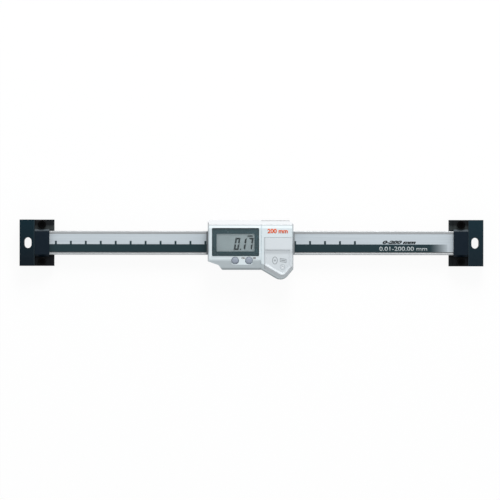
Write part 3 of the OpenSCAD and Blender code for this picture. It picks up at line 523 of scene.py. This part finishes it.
LOOKS = {
    "main_beam": beam_steel(),
    "scale_strip": circuit_board(),
    "graduation_film": graduation_film(),
    "bracket_base_left": bracket_coat(),
    "beam_clamp_left": clamp_coat(),
    "clamp_screws_left": screw_steel("black_screw", srgb(8, 8, 9), srgb(17, 17, 19)),
    "slider_frame": cast_metal("frame_casting", srgb(176, 180, 182), srgb(150, 154, 157)),
    "slider_back_plate": cast_metal("back_plate", srgb(186, 188, 189), srgb(168, 170, 172)),
    "back_plate_screws": screw_steel("plate_screw", srgb(120, 121, 124), srgb(90, 91, 94)),
    "gib_strip": cast_metal("gib_brass", srgb(190, 160, 96), srgb(165, 134, 76)),
    "gib_screws": screw_steel("gib_screw", srgb(48, 48, 50), srgb(70, 70, 72)),
    "wiper_left": wiper_rubber(),
    "housing_gasket": rubber("gasket_rubber", srgb(44, 47, 50), srgb(58, 61, 64)),
    "front_housing": housing_plastic(),
    "housing_screws": screw_steel("housing_screw", srgb(124, 126, 130), srgb(96, 98, 101)),
    "display_window": display_glass(),
    "window_seal": rubber("seal_rubber", srgb(36, 40, 42), srgb(48, 52, 54)),
    "lcd_panel": liquid_crystal(),
    "lcd_holder": moulded_plastic("holder_plastic", srgb(232, 232, 226), srgb(220, 220, 214)),
    "zebra_strips": rubber("contact_rubber", srgb(62, 62, 66), srgb(90, 90, 92)),
    "main_board": circuit_board(),
    "board_components": moulded_plastic("chip_plastic", srgb(38, 38, 40), srgb(52, 52, 54)),
    "readhead_board": cast_metal("readhead_copper", srgb(170, 118, 62), srgb(140, 96, 50)),
    "key_switches": moulded_plastic("switch_plastic", srgb(50, 50, 54), srgb(66, 66, 70)),
    "key_seals": rubber("key_seal_rubber", srgb(34, 34, 36), srgb(46, 46, 48)),
    "zero_key": moulded_plastic("key_plastic", srgb(147, 155, 168), srgb(136, 145, 159), 0.5),
    "battery": screw_steel("cell_steel", srgb(206, 207, 208), srgb(186, 187, 189)),
    "battery_contact_plus": screw_steel("contact_spring", srgb(214, 202, 160), srgb(190, 176, 132)),
    "battery_seal": rubber("battery_seal_rubber", srgb(34, 34, 36), srgb(46, 46, 48)),
    "battery_cover": cover_plastic(),
    "battery_cover_screw": cover_screw_plastic(),
}
SAME_LOOK = {
    "bracket_base_right": "bracket_base_left",
    "beam_clamp_right": "beam_clamp_left",
    "clamp_screws_right": "clamp_screws_left",
    "wiper_right": "wiper_left",
    "power_key": "zero_key",
    "battery_contact_minus": "battery_contact_plus",
}


def paint_nodes():
    for name, node in NODES.items():
        look = LOOKS[SAME_LOOK.get(name, name)]
        for slot in node.material_slots:
            slot.material = look.material


# ---- Edges ----------------------------------------------------------------------------------

ROUNDED = {  # node: width of its edges' rounding, in millimetres
    "main_beam": 0.08,
    "bracket_base_left": 0.45,
    "bracket_base_right": 0.45,
    "beam_clamp_left": 0.3,
    "beam_clamp_right": 0.3,
    "front_housing": 0.3,
    "battery_cover": 0.25,
    "slider_back_plate": 0.25,
    "wiper_left": 0.15,
    "wiper_right": 0.15,
}


def bevel(piece, width):
    """Rounds a piece's sharp edges. width is in millimetres."""
    made = piece.modifiers.new("round", "BEVEL")
    made.width = width * MM
    made.segments = 3
    made.limit_method = "ANGLE"
    made.angle_limit = math.radians(32)
    made.harden_normals = True


def round_edges():
    """Joins each mesh's triangles into its flat faces, and rounds the sharp edges between them."""
    for name, width in ROUNDED.items():
        weld = NODES[name].modifiers.new("weld", "WELD")
        weld.merge_threshold = 0.001 * MM
        flatten = NODES[name].modifiers.new("flatten", "DECIMATE")
        flatten.decimate_type = "DISSOLVE"
        flatten.angle_limit = math.radians(0.5)
        bevel(NODES[name], width)


# ---- Pieces ---------------------------------------------------------------------------------

PRINT = 0.03 * MM            # thickness of a printed mark


def add_piece(name, made, body, look):
    """A piece with the mesh that was built in bmesh."""
    mesh = bpy.data.meshes.new(name)
    made.to_mesh(mesh)
    made.free()
    mesh.materials.append(look.material)
    piece = add_object(name, mesh)
    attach(piece, body)
    return piece


def plates(outlines, z0, z1):
    """Flat plates from z0 to z1, one for each outline of (x, y) points."""
    made = bmesh.new()
    for outline in outlines:
        low = [made.verts.new((x, y, z0)) for x, y in outline]
        high = [made.verts.new((x, y, z1)) for x, y in outline]
        made.faces.new(reversed(low))
        made.faces.new(high)
        count = len(outline)
        for i in range(count):
            j = (i + 1) % count
            made.faces.new((low[i], low[j], high[j], high[i]))
    return made


def ring(outer, inner, z0, z1):
    """A flat ring between two outlines that have as many points."""
    made = bmesh.new()
    count = len(outer)
    rows = [[made.verts.new((x, y, z)) for x, y in line]
            for line, z in ((outer, z0), (outer, z1), (inner, z1), (inner, z0))]
    for i in range(count):
        j = (i + 1) % count
        for k in range(4):
            a, b = rows[k], rows[(k + 1) % 4]
            made.faces.new((a[i], a[j], b[j], b[i]))
    return made


def rounded_rectangle(x0, x1, y0, y1, r, parts=5):
    """Its outline, counter-clockwise, with this many parts to each corner."""
    corners = ((x1 - r, y1 - r, 0), (x0 + r, y1 - r, 90), (x0 + r, y0 + r, 180), (x1 - r, y0 + r, 270))
    return [
        (x + r * math.cos(math.radians(turn + 90 * k / parts)),
         y + r * math.sin(math.radians(turn + 90 * k / parts)))
        for x, y, turn in corners
        for k in range(parts + 1)
    ]


def lettering(name, words, x0, x1, y0, y1, z, body, look, slant=0.0, weight=0.0):
    """Flat printed words that fill the box from x0 to x1 and y0 to y1, on the surface at height z."""
    font = bpy.data.curves.new(name, "FONT")
    font.body = words
    font.offset = weight
    font.resolution_u = 4
    source = add_object(name + "_source", font)
    bpy.context.view_layer.update()
    mesh = bpy.data.meshes.new_from_object(source.evaluated_get(bpy.context.evaluated_depsgraph_get()))
    bpy.data.objects.remove(source)
    mesh.transform(Matrix(((1, slant, 0, 0), (0, 1, 0, 0), (0, 0, 1, 0), (0, 0, 0, 1))))
    xs = [v.co.x for v in mesh.vertices]
    ys = [v.co.y for v in mesh.vertices]
    scale_x = (x1 - x0) / (max(xs) - min(xs))
    scale_y = (y1 - y0) / (max(ys) - min(ys))
    for v in mesh.vertices:
        v.co = (x0 + (v.co.x - min(xs)) * scale_x, y0 + (v.co.y - min(ys)) * scale_y, z)
    made = bmesh.new()
    made.from_mesh(mesh)
    bpy.data.meshes.remove(mesh)
    bmesh.ops.remove_doubles(made, verts=made.verts, dist=0.002 * MM)
    bmesh.ops.dissolve_limit(made, angle_limit=0.01, verts=made.verts, edges=made.edges)
    top = bmesh.ops.extrude_face_region(made, geom=made.faces[:])["geom"]
    for v in [g for g in top if isinstance(g, bmesh.types.BMVert)]:
        v.co.z += PRINT
    bmesh.ops.recalc_face_normals(made, faces=made.faces)
    return add_piece(name, made, body, look)


# ---- Display --------------------------------------------------------------------------------

SEGMENTS = {"0": "abcdef", "1": "bc", "7": "abc"}


def lcd_view():
    """x0, x1, y0 and y1 of the part of the LCD that can be seen."""
    low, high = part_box("lcd_panel")
    rim = 1.5 * MM
    return low.x + rim, high.x - rim, low.y + rim, high.y - rim


def add_window_mask():
    """The dark frame printed on the back of the window, round the LCD."""
    low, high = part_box("display_window")
    x0, x1, y0, y1 = lcd_view()
    look = Look("window_print", srgb(56, 76, 82), 0.25)
    look.cloud(srgb(46, 68, 72), 12, 0.8).patina(0.2, 0.3, 3)
    # Painted shade: the printed frame darker towards its lower edge.
    look.blend(look.ramp(look.along("Y"), y0 / MM - 1.5, y1 / MM, 0.3, 0), srgb(18, 38, 42))
    look.let_through(look.node("LightPath").outputs["Is Shadow Ray"])    # no shadow on the LCD
    edge = 0.05 * MM
    outer = rounded_rectangle(low.x + edge, high.x - edge, low.y + edge, high.y - edge, 0.7 * MM)
    inner = rounded_rectangle(x0, x1, y0, y1, 0.3 * MM)
    add_piece("window_mask", ring(outer, inner, low.z + 0.1 * MM, low.z + 0.1 * MM + PRINT), "slider",
              look)


def segment_outlines(character, x, y, width, height, stroke, slant):
    """The strokes of a seven-segment figure, its lower left corner at x, y."""
    middle = height / 2
    gap = stroke * 0.12
    slots = {
        "a": ((0, height), (width, height), 1), "d": ((0, 0), (width, 0), -1),
        "f": ((0, middle), (0, height), 1), "e": ((0, 0), (0, middle), 1),
        "b": ((width, middle), (width, height), -1), "c": ((width, 0), (width, middle), -1),
    }
    outlines = []
    for key in SEGMENTS[character]:
        (x0, y0), (x1, y1), side = slots[key]
        if y0 == y1:         # a stroke across, its long side outwards
            points = [(x0 + gap, y0), (x1 - gap, y1), (x1 - stroke, y1 - side * stroke),
                      (x0 + stroke, y0 - side * stroke)]
        else:                # an upright stroke
            low_cut = stroke if y0 == 0 else stroke / 2
            high_cut = stroke if y1 == height else stroke / 2
            points = [(x0, y0 + gap), (x0, y1 - gap), (x0 + side * stroke, y1 - high_cut),
                      (x0 + side * stroke, y0 + low_cut)]
        outlines.append([(x + px + slant * py, y + py) for px, py in points])
    return outlines


def add_reading():
    """The LCD's reading, 0.17 mm."""
    x0, x1, y0, y1 = lcd_view()
    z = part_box("lcd_panel")[1].z + 0.01 * MM
    ink = Look("segment_ink", srgb(24, 34, 37), 0.4)
    ink.cloud(srgb(32, 43, 46), 0.6, 0.6)
    slant, width, height, stroke = 0.155, 3.35 * MM, 8.2 * MM, 1.15 * MM
    foot = y0 + 0.95 * MM
    figures = []
    for character, left in (("0", 11.35), ("1", 15.6), ("7", 20.15)):
        figures += segment_outlines(character, x0 + left * MM, foot, width, height, stroke, slant)
    dot = x0 + 15.4 * MM
    figures.append([(dot, foot), (dot + 0.9 * MM, foot), (dot + 1.05 * MM, foot + 0.95 * MM),
                    (dot + 0.15 * MM, foot + 0.95 * MM)])
    add_piece("lcd_digits", plates(figures, z, z + PRINT), "slider", ink)
    lettering("lcd_unit", "mm", x1 - 4.6 * MM, x1 - 1.2 * MM, y1 - 2.2 * MM, y1 - 1.0 * MM, z,
              "slider", ink, weight=0.04)


# ---- Keys -----------------------------------------------------------------------------------

def turned(centre, profile, count=64):
    """A solid of revolution round a vertical axis, from (radius, height) points, bottom to top."""
    made = bmesh.new()
    rings = []
    for radius, height in profile:
        if radius == 0:
            rings.append([made.verts.new((centre.x, centre.y, height))])
        else:
            rings.append([made.verts.new((centre.x + radius * math.cos(math.tau * k / count),
                                          centre.y + radius * math.sin(math.tau * k / count), height))
                          for k in range(count)])
    for inner, outer in zip(rings, rings[1:]):
        for k in range(count):
            j = (k + 1) % count
            corners = [inner[0]] if len(inner) == 1 else [inner[j], inner[k]]
            corners += [outer[0]] if len(outer) == 1 else [outer[k], outer[j]]
            made.faces.new(corners)
    bmesh.ops.recalc_face_normals(made, faces=made.faces)
    return made


def add_keys():
    """Keys with softly rounded tops, which stand for the CAD's plainer ones."""
    for name in ("zero_key", "power_key"):
        low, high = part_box(name)
        collar = (high.x - low.x) / 2            # the hidden rim that holds the key in
        radius, step = collar - 0.6 * MM, low.z + 0.6 * MM
        round_out, round_down = 1.7 * MM, 1.15 * MM
        profile = [(0, low.z), (collar, low.z), (collar, step), (radius, step)]
        for k in range(9):
            turn = math.pi / 2 * k / 8
            profile.append((radius - round_out * (1 - math.cos(turn)),
                            high.z - round_down * (1 - math.sin(turn))))
        profile += [(0.5 * (radius - round_out), high.z - 0.05 * MM), (0, high.z - 0.08 * MM)]
        cap = add_piece(name + "_cap", turned((low + high) / 2, profile), name, LOOKS["zero_key"])
        cap.data.shade_smooth()
        cap.data.set_sharp_from_angle(angle=math.radians(40))
        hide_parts(name)


def arc(centre, radius, start, end, count=14):
    """Points from one angle to another, in degrees."""
    turns = [math.radians(start + (end - start) * k / count) for k in range(count + 1)]
    return [(centre.x + radius * math.cos(t), centre.y + radius * math.sin(t)) for t in turns]


def add_key_bridge():
    """The flat rest between the keys and its rims under them, proud of the housing's lower slope."""
    boxes = [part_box(name) for name in ("zero_key", "power_key")]
    left, right = [(low + high) / 2 for low, high in boxes]
    reach = (boxes[0][1].x - boxes[0][0].x) / 2 - 0.4 * MM
    rim = reach + 0.5 * MM
    outline = (arc(left, rim, 218, 285, 6) + arc(right, rim, 255, 322, 6) + arc(right, reach, 322, 150)
               + arc(left, reach, 30, -142))
    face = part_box("front_housing")[1].z
    bend = left.y + 0.2 * MM                     # where the face turns down into its slope
    fall = BEVEL_DROP / 6.5                      # height that the slope loses in each unit of y
    made = bmesh.new()
    tops = [made.verts.new((x, y, face - 0.01 * MM)) for x, y in outline]
    feet = [made.verts.new((x, y, face - 0.4 * MM - fall * max(0, bend - y))) for x, y in outline]
    made.faces.new(tops)
    for k in range(len(outline)):
        j = (k + 1) % len(outline)
        made.faces.new((tops[k], feet[k], feet[j], tops[j]))
    underside = made.faces.new(feet[::-1])
    bmesh.ops.triangulate(made, faces=[underside])
    bmesh.ops.recalc_face_normals(made, faces=made.faces)
    bevel(add_piece("key_bridge", made, "slider", LOOKS["front_housing"]), 0.15)


# ---- Printed marks --------------------------------------------------------------------------

SUNK = 0.02 * MM             # how deep a print on the head lies in the plastic


def add_beam_prints():
    clear = 0.001 * MM                           # between a print and what it is printed on
    band_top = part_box("graduation_film")[1].z
    silver_top = band_top - BAND * MM
    dark = glossy_print("dark_print", srgb(30, 40, 44), srgb(42, 52, 56))
    pale = glossy_print("pale_print", srgb(188, 196, 197), srgb(172, 180, 182))
    lettering("range_print", "0-200 mm", 87.6 * MM, 110 * MM, -0.6 * MM, 1.7 * MM,
              silver_top + clear, "beam", dark, slant=0.3, weight=0.07)
    lettering("resolution_print", "0.01-200.00 mm", 85.5 * MM, 117.5 * MM, -5.2 * MM, -2.4 * MM,
              band_top + clear, "beam", pale, weight=0.01)


def add_head_prints():
    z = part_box("front_housing")[1].z - SUNK
    orange = glossy_print("orange_print", srgb(230, 96, 44), srgb(234, 112, 64))
    cover_low, cover_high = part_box("battery_cover")
    lettering("head_print", "200 mm", cover_low.x + 2.0 * MM, cover_low.x + 15.6 * MM,
              cover_high.y + 2.8 * MM, cover_high.y + 6.0 * MM, z, "slider", orange,
              weight=0.045)
    label = glossy_print("key_print", srgb(92, 80, 74), srgb(112, 94, 82))
    key_low, key_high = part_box("power_key")
    key = (key_low + key_high) / 2
    for name, words, left, right in (("on_label", "ON", -5.0, -2.55), ("off_label", "OFF", 2.45, 4.7)):
        lettering(name, words, key.x + left * MM, key.x + right * MM, key.y + 0.95 * MM,
                  key.y + 2.2 * MM, z, "slider", label, weight=0.05)


def add_cover_marks():
    """Plain signs for a cell, its pole and its charge, in the hollow of the battery cover."""
    low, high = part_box("battery_cover")
    z0 = high.z - HOLLOW * MM - SUNK
    z1 = z0 + PRINT
    y = high.y - 15.2 * MM
    cell_x = low.x + 7.0 * MM
    battery_x = cell_x + 5.5 * MM
    fall = 0.16                                  # of the battery sign in each unit of x

    def oval(half_x, half_y):
        return [(cell_x + half_x * math.cos(math.tau * k / 48) * MM,
                 y + half_y * math.sin(math.tau * k / 48) * MM) for k in range(48)]

    def slanted(half_x, half_y):
        return [(battery_x + i * half_x * MM, y + (j * half_y - fall * i * half_x) * MM)
                for i, j in ((-1, -1), (1, -1), (1, 1), (-1, 1))]

    bar, half = 0.8, 0.25
    cross = [(-bar, -half), (-half, -half), (-half, -bar), (half, -bar), (half, -half), (bar, -half),
             (bar, half), (half, half), (half, bar), (-half, bar), (-half, half), (-bar, half)]
    marks = {
        "cell_mark": ring(oval(1.85, 2.6), oval(1.35, 2.1), z0, z1),
        "plus_mark": plates([[(cell_x + i * MM, y + j * MM) for i, j in cross]], z0, z1),
        "battery_mark": ring(slanted(2.2, 1.3), slanted(1.7, 0.85), z0, z1),
        "charge_mark": plates([slanted(1.3, 0.45)], z0, z1),
    }
    grey = glossy_print("cover_print", srgb(150, 156, 160), srgb(160, 166, 170))
    for name, made in marks.items():
        add_piece(name, made, "slider", grey)


add_camera()
add_world()
add_key_light()
add_floor()
paint_nodes()
round_edges()
add_window_mask()
add_reading()
add_keys()
add_key_bridge()
add_beam_prints()
add_head_prints()
add_cover_marks()

bpy.context.scene.view_settings.view_transform = "Standard"
